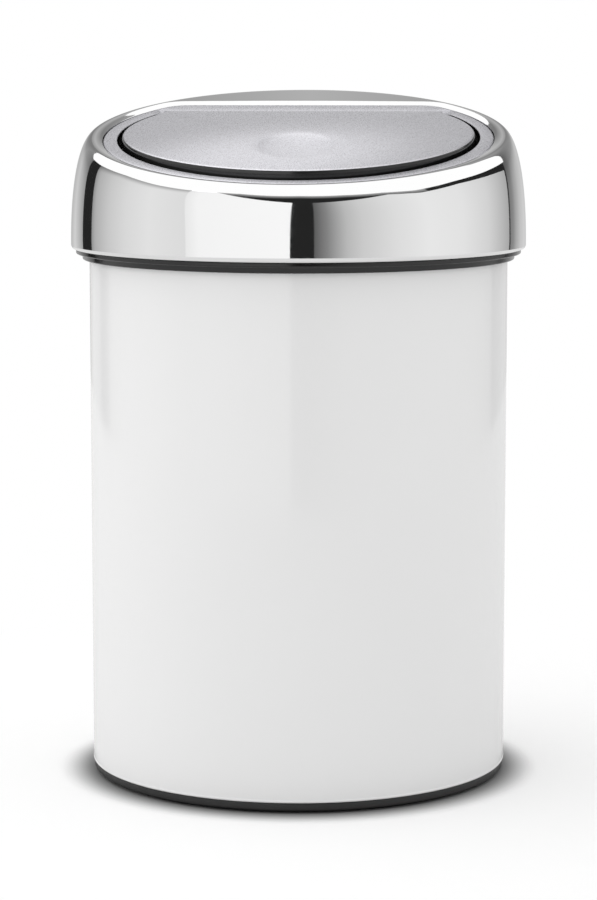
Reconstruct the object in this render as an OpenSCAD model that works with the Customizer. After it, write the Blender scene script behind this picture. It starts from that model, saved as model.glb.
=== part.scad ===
// Push top countertop bin: a white steel canister with a lift-out bucket, under a
// bright lid ring whose sloping opening holds a press-to-open flap.
// Millimetres, +Z up, origin at the middle of the face that it stands on. The flap's
// latch is at the front, -Y, and its hinge is at the back, +Y.

/* [Canister] */
// Outer diameter of the steel canister
body_d = 160; // [150:1:170]
// Height of the canister's top edge
body_top = 204; // [180:1:230]
// Thickness of the steel sheet
sheet_t = 0.8; // [0.6:0.1:1]
// Height of the foot ring that shows under the canister
foot_h = 4; // [3:0.5:6]

/* [Bucket] */
// Outer radius of the bucket just under its rim
bucket_top_r = 77; // [74:0.5:77.5]
// Outer radius of the bucket at its base
bucket_base_r = 68; // [60:1:72]
// Wall of the bucket
bucket_t = 1.4; // [1.2:0.1:2]
// Radius of the wire that the bail is bent from
bail_wire_r = 1.5; // [1.2:0.1:1.8]

/* [Lid ring] */
// Slope of the opening, in degrees, down to the front
slope = 11.45; // [8:0.05:13]
// Height of the middle of the opening
opening_z = 244.5; // [240:0.5:255]
// Largest radius of the bright ring
ring_r = 86.95; // [85:0.05:90]
// Radius of the opening in the bright ring
opening_r = 74.75; // [73:0.05:76]
// Distance from the middle of the opening to its straight rear edge
opening_chord = 54.7; // [52:0.1:58]
// Radius of the two rear corners of the opening
opening_corner_r = 12; // [8:1:16]
// Radius at which the ring's rounded shoulder is highest
crest_r = 78.8; // [77:0.1:80]
// Height of that crest above the plane of the opening
crest_h = 0.95; // [0.5:0.05:1.5]

/* [Flap] */
// Radius of the flap
flap_r = 67.4; // [66:0.1:67.6]
// Distance of the flap's middle behind the middle of the opening
flap_y = 0.8; // [0:0.1:1]
// Half the width of the flap's rear edge
flap_corner_x = 55; // [54:0.1:55.2]
flap_side_x = 59.5; // [59:0.1:59.6]
flap_side_y = 32; // [31:0.1:33]
// Distance from the middle of the opening to the hinge
hinge_y = 42; // [40:0.5:43]
// Depth of the hinge under the plane of the opening
hinge_depth = 2.6; // [2.4:0.1:2.8]
// Height of the flap's top over the plane of the opening, at the hinge
flap_proud = 0.4; // [0.2:0.1:0.6]
// Slope of the closed flap over that plane, up to the front, in degrees
flap_tilt = 1.45; // [0:0.05:1.6]
// Thickness of the flap's top
flap_t = 2.6; // [2:0.1:2.8]
// Radius of the flap's rounded edge
flap_roll = 1.4; // [1:0.1:1.6]
// Half the width of the finger dimple
dimple_a = 14.5; // [12:0.5:18]
// Half the length of the finger dimple
dimple_b = 21.8; // [18:0.2:24]
// Depth of the finger dimple
dimple_depth = 1.3; // [0.8:0.1:1.5]
// Distance of the dimple's middle in front of the opening's middle
dimple_y = 21.5; // [18:0.5:26]

/* [Latch] */
// Distance of the latch in front of the opening's middle
latch_y = 60; // [58:0.5:61]
// Half the width of the striker's head
head_half = 3.3; // [3:0.1:3.5]
// Half the gap between the closed jaws
jaw_gap = 2.3; // [2.2:0.1:2.5]
// Half the width of the latch's channel
channel_half = 6.7; // [6.6:0.1:7]

/* [Hidden] */
$fn = 96;

body_r = body_d / 2;
body_in = body_r - sheet_t;
foot_r = body_r - 0.4;
floor_z = foot_h + 6.6;
rim_top = body_top + 2;
bail_z = body_top - 5;
bail_r = 69.5;
band_z = 198.4;
hem_z = 202.35;
ring_t = 1;
posts_r = 78.2;
post_angles = [40, 140, 220, 320];
clearance = 0.05;

// Places in the plane of the opening, where +z is its normal
frame_in_r = 69.2;
frame_gap = 0.4;
frame_out_r = opening_r - frame_gap;
strip_y = 45.6;
deck_top = -2.4;
deck_bottom = -4.6;
deck_r = 76.6;
well_r = 70.4;
ledge_top = -9;
ledge_bottom = -10.6;
throat_r = 61.5;
throat_bottom = -18;
throat_back = 40;
flap_bottom = flap_proud - flap_t;
flap_boss_r = 63.4;
rim_bottom = flap_proud - flap_roll - 0.1;
liner_bottom = -5.2;
liner_r = 63.2;
flange_bottom = -3.6;
barrel_r = hinge_depth + flap_proud - 0.05;
knuckle_r = 2.1;
axle_r = 0.9;
carrier_knuckles = [[14, 6], [44, 5]];
flap_knuckles = [[20.4, 3.6], [38, 5.6]];
spring_from = 26;

// Latch, measured from its own middle line
pin_z = -16.5;
jaw_pin_x = 5.1;
head_top = -12;
head_bottom = -14;
hook_bottom = head_top + 0.65;
hook_top = head_top + 2.2;
plunger_bottom = -22;
cavity_floor = -30;
latch_half_y = 4.5;
latch_outer = [18.4, 11.2];
flange_half = 12.4;
latch_screw_x = 10.9;
stake_angles = [205, 335];
stake_r = 73.4;

// Puts what is drawn in the plane of the opening at its place
module on_slope() {
    translate([0, 0, opening_z]) rotate([slope, 0, 0]) children();
}

// Puts what is drawn with the flap level at its place, turned up about the hinge
module on_flap() {
    on_slope() translate([0, hinge_y, -hinge_depth]) rotate([-flap_tilt, 0, 0])
        translate([0, -hinge_y, hinge_depth]) children();
}

// Puts what is drawn round the latch's middle line at its place
module at_latch() {
    on_slope() translate([0, -latch_y, 0]) children();
}

module ring(outer, inner, z0, z1) {
    translate([0, 0, z0]) difference() {
        cylinder(h = z1 - z0, r = outer);
        translate([0, 0, -1]) cylinder(h = z1 - z0 + 2, r = inner);
    }
}

// A pin or hole along X, from x0 to x1
module along_x(x0, x1, r) {
    translate([x0, 0, 0]) rotate([0, 90, 0]) cylinder(h = x1 - x0, r = r);
}

// Keeps what is in front of y = limit, in the plane of the opening
module front_of(limit) {
    intersection() {
        children();
        translate([-100, -100, -60]) cube([200, 100 + limit, 80]);
    }
}

// Round outline with a straight rear edge and rounded corners: its reach at an angle
function corner_x(r, chord, corner) = sqrt(pow(r - corner, 2) - pow(chord - corner, 2));
function corner_from(r, chord, corner) = atan2(chord - corner, corner_x(r, chord, corner));
function corner_reach(a, cx, cy, corner) =
    let(dot = cx * cos(a) + cy * sin(a))
    dot + sqrt(pow(corner, 2) - cx * cx - cy * cy + dot * dot);
function outline_reach(angle, r, chord, corner) =
    let(a = abs(abs(angle - 90) > 180 ? 360 - abs(angle - 90) : abs(angle - 90)),
        up = 90 - a,
        cx = corner_x(r, chord, corner))
    up < corner_from(r, chord, corner) ? r
    : up > atan2(chord, cx) ? chord / sin(up)
    : corner_reach(up, cx, chord - corner, corner);
function outline(r, chord, corner, steps = 144) =
    [for (i = [0 : steps - 1]) let(a = 360 * i / steps)
        outline_reach(a, r, chord, corner) * [cos(a), sin(a)]];

// A skin over rings of points, closed on itself both ways
function skin_faces(rings, points) =
    [for (i = [0 : rings - 1], j = [0 : points - 1])
        let(a = i * points + j,
            b = i * points + (j + 1) % points,
            c = ((i + 1) % rings) * points + (j + 1) % points,
            d = ((i + 1) % rings) * points + j)
        each [[a, b, c], [a, c, d]]];

// A tube of six sides along a path, closed at both ends
tube_sides = 6;
function ahead(path, i) =
    let(last = len(path) - 1,
        d = path[min(i + 1, last)] - path[max(i - 1, 0)])
    d / norm(d);
function tube_ring(path, i, r, across) =
    let(t = ahead(path, i),
        u = cross(t, across) / norm(cross(t, across)),
        v = cross(t, u))
    [for (k = [0 : tube_sides - 1])
        path[i] + r * (cos(360 * k / tube_sides) * u + sin(360 * k / tube_sides) * v)];
module tube(path, r, across) {
    last = len(path) - 1;
    polyhedron(
        points = [for (i = [0 : last]) each tube_ring(path, i, r, across)],
        faces = concat(
            [for (i = [0 : last - 1], k = [0 : tube_sides - 1])
                let(a = i * tube_sides + k,
                    b = i * tube_sides + (k + 1) % tube_sides)
                each [[a, a + tube_sides, b + tube_sides], [a, b + tube_sides, b]]],
            [[for (k = [0 : tube_sides - 1]) k]],
            [[for (k = [tube_sides - 1 : -1 : 0]) last * tube_sides + k]]));
}

// Least distance between two curls of a coil, less the wire
curl_rings = 8;
function coil_gap(path, wire_d) =
    min([for (i = [0 : len(path) - 1], j = [i + curl_rings / 2 + 1 : 1 : len(path) - 1])
        norm(path[i] - path[j])]) - wire_d;

// Steel tube with a rolled hem below and a curled edge above
module body_shell() {
    hem = 0.65;
    curl = 0.9;
    color("white") rotate_extrude($fn = 180) {
        translate([body_in, foot_h + hem]) square([sheet_t, body_top - curl - foot_h - hem]);
        translate([body_r + 0.15 - hem, foot_h + 0.1 + hem]) circle(r = hem, $fn = 32);
        translate([body_r - curl, body_top - curl]) circle(r = curl, $fn = 32);
    }
}

// Pressed steel floor, with its rim turned up against the tube
module body_bottom() {
    rim_h = 4.5;
    color("gainsboro") difference() {
        translate([0, 0, floor_z]) cylinder(h = rim_h, r = body_in - clearance);
        translate([0, 0, floor_z + sheet_t]) cylinder(h = rim_h, r = body_in - clearance - sheet_t);
    }
}

// Black foot ring: a lip under the hem, a collar inside it, a flange, and the foot it stands on
module base_ring() {
    color("#1c1c1e") rotate_extrude($fn = 180) {
        polygon([[foot_r - 9.6, 2.4], [foot_r - 6.1, 2.4], [foot_r - 6.1, 0], [foot_r - 2.9, 0],
            [foot_r - 2.6, 0.9], [foot_r - 0.8, 0.9], [foot_r - 0.2, 1.2], [foot_r, 1.8],
            [foot_r, foot_h], [foot_r - 0.9, foot_h], [foot_r - 0.9, floor_z - 0.2],
            [foot_r - 2.6, floor_z - 0.2], [foot_r - 2.6, foot_h], [foot_r - 9.6, foot_h]]);
    }
}

// Lift-out plastic bucket, hung by its rim, with an ear inside each side for the bail
module inner_bucket() {
    rim_r = body_r + 0.3;
    base_z = floor_z + 3;
    base_t = 1.8;
    lip = 1.98;
    ear = [4.4, 9, 10.4];
    ear_x = bail_r + bail_wire_r + 0.4;
    color("#b9bcbf") difference() {
        union() {
            rotate_extrude($fn = 180) polygon([[0, base_z], [bucket_base_r, base_z],
                [bucket_top_r, body_top + 0.02], [rim_r, body_top + 0.02], [rim_r, body_top + lip],
                [bucket_top_r - bucket_t, body_top + lip],
                [bucket_base_r - bucket_t, base_z + base_t], [0, base_z + base_t]]);
            for (side = [0, 180]) rotate([0, 0, side])
                translate([ear_x, -ear[1] / 2, bail_z - 6]) cube(ear);
        }
        for (side = [0, 180]) rotate([0, 0, side]) translate([0, 0, bail_z])
            along_x(ear_x - 1, ear_x + 3.4, bail_wire_r + clearance);
    }
}

// Steel wire bail, lying in the bucket's mouth along the front
module bucket_handle() {
    pin_end = bail_r + bail_wire_r + 3.6;
    color("silver") translate([0, 0, bail_z]) {
        rotate([0, 0, 180]) rotate_extrude(angle = 180, $fn = 128)
            translate([bail_r, 0]) circle(r = bail_wire_r, $fn = 32);
        for (side = [0, 180]) rotate([0, 0, side]) {
            along_x(bail_r, pin_end, bail_wire_r);
            translate([bail_r, 0, 0]) sphere(r = bail_wire_r, $fn = 32);
        }
    }
}

// A point in the plane of the opening, or over it, as a point of the whole object
function sloped(p) = [p[0], p[1] * cos(slope) - p[2] * sin(slope),
    opening_z + p[1] * sin(slope) + p[2] * cos(slope)];
function bezier(t, p) = pow(1 - t, 3) * p[0] + 3 * pow(1 - t, 2) * t * p[1]
    + 3 * (1 - t) * t * t * p[2] + t * t * t * p[3];

// The ring's side rises straight from its hem and rounds over to the crest
side_steps = [0.15, 0.3, 0.45, 0.58, 0.7, 0.81, 0.91, 1];
shoulder_pull = 4;
side_straight = 0.66;
function side_curve(a, inset, t) =
    let(foot = [(ring_r - inset) * cos(a), (ring_r - inset) * sin(a), hem_z + 1.65],
        crest = sloped([crest_r * cos(a), crest_r * sin(a), crest_h - inset]),
        pull = crest_r + shoulder_pull - inset / 2)
    bezier(t, [foot, foot + [0, 0, side_straight * (crest[2] - foot[2])],
        sloped([pull * cos(a), pull * sin(a), crest_h - inset]), crest]);

// From the crest the top falls to the opening's edge, in the last few millimetres
edge_run = crest_r - opening_r;
edge_steps = [0.75, 0.5, 0.25, 0.08];
function edge_height(d) = d < edge_run ? crest_h * (1 - pow(1 - d / edge_run, 2)) : crest_h;
function edge_at(a, d, inset) =
    let(reach = outline_reach(a, opening_r, opening_chord, opening_corner_r))
    sloped([(reach + d) * cos(a), (reach + d) * sin(a), edge_height(d) - inset]);
function ring_section(a) =
    let(turn = [cos(a), sin(a)],
        lip_depth = 2.2,
        hem_in = 83.2)
    concat(
        [[hem_in * turn[0], hem_in * turn[1], hem_z]],
        [for (s = [-90, -45, 0]) let(r = ring_r - 1.6 + 1.6 * cos(s))
            [r * turn[0], r * turn[1], hem_z + 1.6 + 1.6 * sin(s)]],
        [for (t = side_steps) side_curve(a, 0, t)],
        [for (k = edge_steps)
            edge_at(a, k * (crest_r - outline_reach(a, opening_r, opening_chord, opening_corner_r)), 0)],
        [edge_at(a, 0, 0.15), edge_at(a, 0, lip_depth), edge_at(a, ring_t, lip_depth + crest_h / 2)],
        [edge_at(a, ring_t, ring_t + 0.3)],
        [for (t = [1, 0.8, 0.6, 0.4, 0.2]) side_curve(a, ring_t, t)],
        [for (r = [ring_r - ring_t, hem_in]) [r * turn[0], r * turn[1], hem_z + ring_t]]);

// Bright pressed steel ring, higher at the back than at the front
module lid_ring() {
    steps = 120;
    sections = [for (i = [0 : steps - 1]) ring_section(360 * i / steps)];
    count = len(sections[0]);
    color("#c8cacc") polyhedron(points = [for (s = sections) each s],
        faces = skin_faces(steps, count));
}

// Black moulding under the ring: two steps that show, a ledge on the bucket, four posts
module lid_skirt() {
    step_z = band_z + 2.2;
    wall_in = body_r + 0.5;
    post_r = 3;
    color("#1c1c1e") difference() {
        union() {
            rotate_extrude($fn = 180) polygon([[wall_in, band_z + 0.4], [wall_in + 0.4, band_z],
                [82.2, band_z], [82.6, band_z + 0.4], [82.6, step_z], [84.7, step_z],
                [85.1, step_z + 0.4], [85.1, hem_z - 0.05], [82.9, hem_z - 0.05],
                [82.9, rim_top + 2], [73.4, rim_top + 2], [73.4, rim_top + 0.02],
                [wall_in, rim_top + 0.02]]);
            intersection() {
                for (a = post_angles) rotate([0, 0, a])
                    translate([posts_r, 0, rim_top + 1]) cylinder(h = 60, r = post_r, $fn = 48);
                on_slope() translate([-100, -100, deck_bottom - 100]) cube([200, 200, 99.98]);
            }
        }
        for (a = post_angles) rotate([0, 0, a])
            translate([posts_r, 0, rim_top + 8]) cylinder(h = 60, r = 1.35, $fn = 32);
    }
}

// Where a post's axis meets the deck, in the plane of the opening
function post_point(a) =
    let(x = posts_r * cos(a), y = posts_r * sin(a), up = (y * tan(slope)) + deck_top / cos(slope))
    [x, y, opening_z + up];

// Black carrier: a deck on the posts, a well for the flap, a throat and the hinge
module flap_carrier() {
    ear_r = 3.2;
    wall = 1.7;
    knuckle_arm = [39.9, 42.6];
    color("#202022") difference() {
        union() {
            on_slope() {
                ring(deck_r, well_r, deck_bottom, deck_top);
                front_of(throat_back + 2.4) {
                    ring(well_r + wall, well_r, ledge_bottom, deck_top);
                    ring(well_r + wall, throat_r, ledge_bottom, ledge_top);
                    ring(throat_r + wall, throat_r, throat_bottom, ledge_top);
                }
                // Flat rear wall, and the trough that the flap's rolled edge turns in
                intersection() {
                    union() {
                        translate([-70, throat_back, throat_bottom]) cube([140, 2.4, 11]);
                        translate([-70, throat_back, ledge_top + 0.4]) cube([140, 7, 1.6]);
                        translate([-70, strip_y - 0.2, ledge_top + 0.4])
                            cube([140, 1.6, deck_top - ledge_top - 0.4]);
                    }
                    translate([0, 0, -30]) cylinder(h = 40, r = well_r + wall);
                }
                // Deck behind the hinge
                intersection() {
                    ring(deck_r, 10, deck_bottom, deck_top);
                    translate([-80, strip_y - 0.2, -20]) cube([160, 40, 40]);
                }
                for (k = carrier_knuckles, side = [0, 1]) mirror([side, 0, 0]) {
                    translate([0, hinge_y, -hinge_depth]) along_x(k[0], k[0] + k[1], knuckle_r);
                    translate([k[0], knuckle_arm[0], ledge_top + 1])
                        cube([k[1], knuckle_arm[1] - knuckle_arm[0], -hinge_depth - ledge_top - 1]);
                }
                // Pocket that the latch hangs in
                translate([-flange_half, -latch_y - 7.4, ledge_bottom])
                    cube([2 * flange_half, 14, 1.6]);
            }
            // Lugs over the four posts
            intersection() {
                for (a = post_angles) rotate([0, 0, a])
                    translate([posts_r - 1, 0, rim_top]) cylinder(h = 80, r = ear_r, $fn = 48);
                on_slope() translate([-100, -100, deck_bottom])
                    cube([200, 200, deck_top - deck_bottom]);
            }
        }
        for (a = post_angles) rotate([0, 0, a])
            translate([posts_r, 0, rim_top]) cylinder(h = 80, r = 1.6, $fn = 32);
        on_slope() {
            translate([0, hinge_y, -hinge_depth]) along_x(-60, 60, axle_r + clearance);
            // The latch goes in from below, beside its two screw holes
            translate([-latch_outer[0] / 2 - 0.1, -latch_y - latch_outer[1] / 2 - 0.1, -30])
                cube([latch_outer[0] + 0.2, latch_outer[1] + 0.2, 25]);
            translate([-flange_half - 0.1, -latch_y - latch_outer[1] / 2 - 0.1, ledge_bottom - 20])
                cube([2 * flange_half + 0.2, latch_outer[1] + 0.2, 20]);
            for (x = [-1, 1]) translate([x * latch_screw_x, -latch_y, -30])
                cylinder(h = 30, r = 0.55, $fn = 24);
            for (a = stake_angles) rotate([0, 0, a])
                translate([stake_r, 0, -10]) cylinder(h = 20, r = 0.85, $fn = 24);
        }
    }
}

// Grey trim round the flap, with a straight strip behind the hinge
module flap_frame() {
    chord = opening_chord - frame_gap;
    relief = [[58.4, 38], [56, strip_y]];
    top_t = 1.6;
    lip = 0.7;
    color("#a9abae") on_slope() difference() {
        union() {
            translate([0, 0, -top_t]) linear_extrude(height = top_t)
                polygon(outline(frame_out_r, chord, opening_corner_r - frame_gap));
            front_of(hinge_y - 3) translate([0, flap_y, 0])
                ring(frame_in_r + lip, frame_in_r, -5, -0.8);
            for (a = stake_angles) rotate([0, 0, a])
                translate([stake_r, 0, deck_top + 0.02]) cylinder(h = 1.5, r = 1.15, $fn = 32);
        }
        intersection() {
            translate([0, flap_y, -10]) cylinder(h = 20, r = frame_in_r, $fn = 180);
            translate([-100, -100, -20]) cube([200, 100 + strip_y, 40]);
        }
        translate([0, 0, -10]) linear_extrude(height = 20)
            polygon([[-relief[0][0], relief[0][1]], relief[0], relief[1],
                [-relief[1][0], relief[1][1]]]);
        for (a = stake_angles) rotate([0, 0, a])
            translate([stake_r, 0, -3]) cylinder(h = 1.8, r = 0.85, $fn = 24);
    }
}

// A pan-head screw standing on z = 0, its shank below
module screw(head_r, head_h, shank_r, shank) {
    difference() {
        union() {
            cylinder(h = head_h, r = head_r, $fn = 32);
            translate([0, 0, -shank]) cylinder(h = shank + 0.01, r = shank_r, $fn = 32);
        }
        for (turn = [0, 90]) rotate([0, 0, turn])
            translate([-head_r * 0.6, -head_r * 0.12, head_h * 0.5])
                cube([head_r * 1.2, head_r * 0.24, head_h]);
    }
}

// Four screws that hold the carrier on the skirt's posts
module carrier_screws() {
    color("silver") for (a = post_angles) {
        head_r = 1.9;
        translate(post_point(a) + [0, 0, head_r * tan(slope) + 0.03]) screw(head_r, 0.5, 1.3, 12);
    }
}

// Two screws that hold the frame on the deck
module frame_screws() {
    color("silver") on_slope() for (a = stake_angles) rotate([0, 0, a])
        translate([stake_r, 0, deck_bottom - 0.02]) rotate([180, 0, 0]) screw(1.1, 0.8, 0.8, 3.2);
}

// Latch housing, open at its top and bottom, its mouth wider than its channel
module latch_housing() {
    top = -8.4;
    mouth_half = channel_half + 1.4;
    color("#202022") at_latch() difference() {
        union() {
            translate([-latch_outer[0] / 2, -latch_outer[1] / 2, cavity_floor])
                cube([latch_outer[0], latch_outer[1], top - cavity_floor]);
            translate([-flange_half, -latch_outer[1] / 2, ledge_bottom - 1.62])
                cube([2 * flange_half, latch_outer[1], 1.6]);
        }
        rotate([90, 0, 0]) translate([0, 0, -latch_half_y]) linear_extrude(height = 2 * latch_half_y)
            polygon([[-channel_half, cavity_floor - 1], [channel_half, cavity_floor - 1],
                [channel_half, -14], [mouth_half, -12.2], [mouth_half, 0], [-mouth_half, 0],
                [-mouth_half, -12.2], [-channel_half, -14]]);
        for (x = [-1, 1]) translate([x * latch_screw_x, 0, -30]) cylinder(h = 30, r = 0.65, $fn = 24);
    }
}

// Cap that closes the housing and carries the spring
module latch_cap() {
    color("#2c2c2e") at_latch() {
        translate([-latch_outer[0] / 2, -latch_outer[1] / 2, cavity_floor - 1.62])
            cube([latch_outer[0], latch_outer[1], 1.6]);
        translate([0, 0, cavity_floor - 0.5]) cylinder(h = 2.9, r = 1.3, $fn = 32);
        for (x = [-4.6, 4.6]) translate([x - 1, -3.4, cavity_floor - 0.5]) cube([2, 6.8, 1.5]);
    }
}

// Coil spring under the plunger
module latch_spring() {
    curls = 6;
    coil_r = 1.9;
    wire_r = 0.28;
    low = cavity_floor + wire_r + 0.02;
    high = plunger_bottom + 0.1;
    path = [for (i = [0 : curls * curl_rings]) let(a = 360 * i / curl_rings)
        [coil_r * cos(a), coil_r * sin(a), low + (high - low) * i / (curls * curl_rings)]];
    echo(latch_spring_gap = coil_gap(path, 2 * wire_r));
    color("silver") at_latch() tube(path, wire_r, [0, 0, 1]);
}

// Wire pin that follows the cam groove in the plunger's back
module latch_cam_pin() {
    follower_z = plunger_bottom + 3.5;
    wire_r = 0.4;
    color("silver") at_latch() translate([0, latch_half_y - 0.5, 0]) {
        translate([0, 0, cavity_floor + 0.02])
            cylinder(h = follower_z - cavity_floor + wire_r, r = wire_r, $fn = 24);
        translate([0, 0, follower_z]) rotate([90, 0, 0])
            cylinder(h = 1.1, r = 0.8 * wire_r, $fn = 24);
    }
}

// Two screws that hold the housing under the carrier
module latch_screws() {
    color("silver") at_latch() for (x = [-1, 1])
        translate([x * latch_screw_x, 0, ledge_bottom - 1.64]) rotate([180, 0, 0]) screw(1.2, 0.8, 0.5, 2.8);
}

// Rubber buffers on the ledge, which stop the flap when it is pressed too far
module flap_buffers() {
    buffer_h = 5.3;
    color("#3a3a3c") on_slope() for (a = [185, 222, 318, 355]) rotate([0, 0, a])
        translate([66.9, 0, ledge_top + 0.01]) {
            cylinder(h = buffer_h, r = 1.3, $fn = 32);
            cylinder(h = 0.8, r = 1.8, $fn = 32);
        }
}

// Torsion spring wound on the axle from x0 on, its two legs on the carrier's floor. The
// rear leg slants forward, out of the way of the flap's rolled edge when that turns.
module torsion_spring(x0) {
    curls = 7.5;
    pitch = 1.2;
    coil_r = 1.6;
    wire_r = 0.3;
    leg = -3.9;
    rear_leg_y = -1.2;
    end_x = x0 + pitch * curls;
    path = concat(
        [[x0, rear_leg_y, leg], [x0, (coil_r + rear_leg_y) / 2, leg / 2]],
        [for (i = [0 : curls * curl_rings]) let(a = 360 * i / curl_rings)
            [x0 + pitch * i / curl_rings, coil_r * cos(a), coil_r * sin(a)]],
        [for (z = [leg / 2, leg]) [end_x, -coil_r, z]]);
    echo(torsion_spring_gap = coil_gap(path, 2 * wire_r));
    color("silver") on_slope() translate([0, hinge_y, -hinge_depth]) tube(path, wire_r, [1, 0, 0]);
}
module torsion_spring_left() {
    torsion_spring(-spring_from - 9);
}
module torsion_spring_right() {
    torsion_spring(spring_from);
}

// Steel axle through all the knuckles
module hinge_axle() {
    color("silver") on_slope() translate([0, hinge_y, -hinge_depth]) along_x(-50.6, 50.6, axle_r);
}

// Push-on clips at the axle's ends
module axle_clips() {
    color("silver") on_slope() translate([0, hinge_y, -hinge_depth]) for (side = [0, 180])
        rotate([0, 0, side]) difference() {
            along_x(49.3, 49.9, 1.9);
            along_x(49, 50.2, axle_r);
        }
}

// Grey flap: a flat disc with a rounded edge, a finger dimple and a rolled rear edge
module flap() {
    skin = 0.7;
    half = 51;
    width_r = (pow(dimple_a, 2) + pow(dimple_depth, 2)) / (2 * dimple_depth);
    length_r = (pow(dimple_b, 2) + pow(dimple_depth, 2)) / (2 * dimple_depth);
    color("#b4b6b9") on_flap() difference() {
        union() {
            difference() {
                translate([0, flap_y, 0]) rotate_extrude($fn = 180) polygon(concat(
                    [[0, flap_bottom], [flap_boss_r, flap_bottom], [flap_boss_r, rim_bottom],
                        [flap_r, rim_bottom]],
                    [for (a = [0 : 15 : 90]) [flap_r - flap_roll * (1 - cos(a)),
                        flap_proud - flap_roll * (1 - sin(a))]],
                    [[0, flap_proud]]));
                translate([-100, hinge_y, -10]) cube([200, 100, 20]);
            }
            // The rear corners reach a little past the round edge
            translate([0, 0, rim_bottom + 0.05])
                linear_extrude(height = flap_proud - rim_bottom - 0.1)
                    polygon([[-flap_side_x, flap_side_y], [flap_side_x, flap_side_y],
                        [flap_corner_x, hinge_y - 0.01], [-flap_corner_x, hinge_y - 0.01]]);
            translate([0, hinge_y, -hinge_depth]) intersection() {
                along_x(-half, half, barrel_r);
                rotate([90, 0, 90]) translate([0, 0, -half - 1]) linear_extrude(height = 2 * half + 2)
                    polygon([[-0.2, 0.6], [6, 1], [6, 6], [-0.2, 6]]);
            }
        }
        translate([0, -dimple_y, flap_proud - dimple_depth + length_r])
            rotate([0, 90, 0]) rotate_extrude($fn = 180)
                intersection() {
                    translate([length_r - width_r, 0]) circle(r = width_r, $fn = 180);
                    translate([length_r - 4, -20]) square([8, 40]);
                }
        // Room for the knuckles under the flap's rear edge
        translate([0, hinge_y, -hinge_depth]) along_x(-52, 52, barrel_r - skin);
    }
}

// Black liner under the flap, with a rim under its edge and the knuckles on the axle
module flap_liner() {
    back = 39;
    rim_r = flap_r - 0.3;
    color("#202022") on_flap() difference() {
        union() {
            front_of(back) translate([0, flap_y, 0]) {
                ring(liner_r, liner_r - 2, liner_bottom, flap_bottom - 0.01);
                ring(rim_r, liner_r - 2, flange_bottom, flap_bottom - 0.01);
                ring(rim_r, flap_boss_r + 0.1, flange_bottom, rim_bottom - 0.01);
                translate([0, 0, flap_bottom - 1.21]) cylinder(h = 1.2, r = liner_r);
            }
            for (x = [-30, 0, 30]) front_of(back)
                translate([x - 0.7, flap_y + 1 - liner_r * cos(asin(abs(x) / liner_r)), liner_bottom + 0.6])
                    cube([1.4, 200, flap_bottom - liner_bottom - 1]);
            for (k = flap_knuckles, side = [0, 1]) mirror([side, 0, 0]) {
                translate([0, hinge_y, -hinge_depth]) along_x(k[0], k[0] + k[1], knuckle_r);
                translate([k[0], back - 2, -hinge_depth - 1.6]) cube([k[1], hinge_y - back + 1.5, 1.9]);
            }
            translate([-6.5, -latch_y - 3, liner_bottom]) cube([13, 6, 2.5]);
        }
        translate([0, hinge_y, -hinge_depth]) along_x(-60, 60, axle_r + clearance);
        for (x = [-1, 1]) translate([x * 5.2, -latch_y, -12]) cylinder(h = 11, r = 0.55, $fn = 24);
    }
}

// Striker with a T-shaped head, which the latch's jaws hold
module flap_striker() {
    neck = 1;
    rise = (hinge_y + latch_y) * sin(flap_tilt);
    color("#e6e6e2") {
        on_flap() translate([0, -latch_y, 0]) difference() {
            translate([-6.5, -2.5, liner_bottom - 1.22]) cube([13, 5, 1.2]);
            for (x = [-1, 1]) translate([x * 5.2, 0, -12]) cylinder(h = 11, r = 0.65, $fn = 24);
        }
        at_latch() {
            translate([-neck, -2, head_bottom + 0.5])
                cube([2 * neck, 4, liner_bottom - head_bottom - 1 + rise]);
            translate([0, 2, 0]) rotate([90, 0, 0]) linear_extrude(height = 4)
                polygon([[-head_half, head_top], [-head_half, head_bottom + 1],
                    [-head_half + 1, head_bottom], [head_half - 1, head_bottom],
                    [head_half, head_bottom + 1], [head_half, head_top]]);
        }
    }
}

// Two screws that hold the striker under the liner
module striker_screws() {
    color("silver") on_flap() translate([0, -latch_y, 0]) for (x = [-1, 1])
        translate([x * 5.2, 0, liner_bottom - 1.24]) rotate([180, 0, 0]) screw(1.1, 0.7, 0.5, 3.4);
}

// White plunger: a block with a fork for the jaws and a cam groove in its back
module latch_plunger() {
    half_x = 6.5;
    half_y = 3.4;
    fork_top = pin_z + 1.5;
    color("#f0f0ec") at_latch() difference() {
        union() {
            translate([-half_x, -half_y, plunger_bottom])
                cube([2 * half_x, 2 * half_y, fork_top - plunger_bottom]);
            translate([-3, -half_y, fork_top - 1])
                cube([6, 2 * half_y, head_bottom - fork_top + 0.85]);
        }
        for (side = [0, 1]) mirror([side, 0, 0]) {
            translate([3.3, -2.1, pin_z - 1.6]) cube([6, 4.2, 10]);
            translate([jaw_pin_x, 0, pin_z]) rotate([90, 0, 0])
                translate([0, 0, -5]) cylinder(h = 10, r = 0.6 + clearance, $fn = 32);
        }
        // Cam groove in its back, and the bore for the spring
        translate([-0.7, half_y - 0.65, plunger_bottom - 1]) cube([1.4, 3, 7]);
        translate([0, 0, plunger_bottom - 1]) cylinder(h = 3.4, r = 2.35, $fn = 32);
    }
}

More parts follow.
